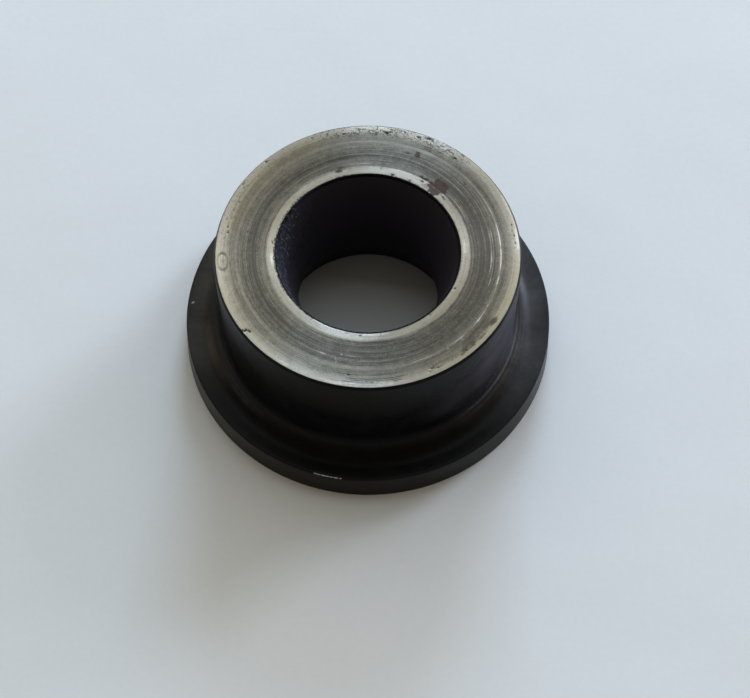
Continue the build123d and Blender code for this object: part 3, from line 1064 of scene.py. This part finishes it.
def make_moulding():
    outline = moulding_outline()
    mesh = revolved_mesh("rubber_body", outline, moulded_skin, rubber_layers)
    materials = [rubber_material(name, *finish) for name, finish in RUBBERS.items()]
    dress(mesh, outline, materials, rubber_zone)
    place_piece(mesh, "rubber_moulding")


# ---- stage, light and camera ----

FLOOR_HALF = 4.0            # m


def make_floor():
    h = FLOOR_HALF
    mesh = bpy.data.meshes.new("floor")
    mesh.from_pydata([(-h, -h, 0), (h, -h, 0), (h, h, 0), (-h, h, 0)], [], [(0, 1, 2, 3)])
    mesh.materials.append(paper_material())
    floor = bpy.data.objects.new("floor", mesh)
    bpy.context.scene.collection.objects.link(floor)


def area_light(name, azimuth, elevation, distance, width, height, watts, colour):
    """A soft rectangular light that faces the bush."""
    lamp = bpy.data.lights.new(name, "AREA")
    lamp.shape = "RECTANGLE"
    lamp.size = width
    lamp.size_y = height
    lamp.energy = watts
    lamp.color = colour
    a, e = math.radians(azimuth), math.radians(elevation)
    place = Vector((math.cos(a) * math.cos(e), math.sin(a) * math.cos(e), math.sin(e))) * distance
    light = bpy.data.objects.new(name, lamp)
    light.location = place
    light.rotation_euler = (-place).to_track_quat("-Z", "Y").to_euler()
    bpy.context.scene.collection.objects.link(light)


# Name, azimuth and elevation in degrees, distance, width and height in m, watts, colour
LIGHTS = (
    ("window_right", 40, 20, 1.6, 0.40, 0.75, 14.5, (0.71, 0.81, 1.0)),
    ("window_back", 82, 20, 1.6, 0.50, 0.85, 22.0, (0.56, 0.75, 1.0)),
    ("ceiling", 82, 58, 1.9, 3.0, 1.9, 17.0, (0.82, 0.96, 1.0)),
)
ROOM_COLOUR = (1.0, 0.87, 0.68)
WALL_LIGHT = 0.80                       # strength of the room's light low down
UPPER_LIGHT = 0.62                      # and high up
UPPER_RISE = (0.25, 0.65)               # sines of the elevations between which it changes
OBSERVER_SHADE = 0.30                   # what is left of it from where the observer stands
OBSERVER_SIDE = (0.0, -0.48, 0.877)     # the way there
OBSERVER_RISE = (0.20, 0.85)            # cosines from that way between which the shade grows


def make_lights():
    for light in LIGHTS:
        area_light(*light)
    make_room()


def make_room():
    """Ambient light: bright walls low down, and little from the side that the observer stands on."""
    world = bpy.data.worlds.new("room")
    nodes = Nodes(world, "Background")
    way = nodes.node("ShaderNodeTexCoord", "Generated", {})
    rise = nodes.node("ShaderNodeSeparateXYZ", "Z", {0: way})
    toward = nodes.node("ShaderNodeVectorMath", "Value", {0: way, 1: OBSERVER_SIDE}, operation="DOT_PRODUCT")
    light = nodes.ramp(rise, *UPPER_RISE, WALL_LIGHT, UPPER_LIGHT, "SMOOTHSTEP")
    shade = nodes.ramp(toward, *OBSERVER_RISE, 1.0, OBSERVER_SHADE, "SMOOTHSTEP")
    nodes.set(Color=ROOM_COLOUR, Strength=nodes.scaled(light, shade))
    bpy.context.scene.world = world


# The camera: 0.29 m from the steel face, looking down at 62 degrees
LENS = 86.4                 # mm
SENSOR = 36.0               # mm
NEAR_CLIP = 0.01            # m
CAMERA_PLACE = (0.0, -0.14976, 0.27396)
CAMERA_VIEW = (0.003834, 0.470084, -0.882613)
CAMERA_RIGHT = (0.999992, -0.002910, 0.002794)


def make_camera():
    camera = bpy.data.objects.new("camera", bpy.data.cameras.new("camera"))
    camera.data.sensor_width = SENSOR
    camera.data.lens = LENS
    camera.data.clip_start = NEAR_CLIP
    view = Vector(CAMERA_VIEW).normalized()
    up = Vector(CAMERA_RIGHT).cross(view).normalized()
    right = view.cross(up)
    turn = Matrix((right, up, -view)).transposed().to_4x4()
    camera.matrix_world = Matrix.Translation(Vector(CAMERA_PLACE)) @ turn
    bpy.context.scene.collection.objects.link(camera)
    bpy.context.scene.camera = camera


make_sleeve()
make_moulding()
make_floor()
make_lights()
make_camera()
bpy.context.scene.view_settings.view_transform = "Standard"
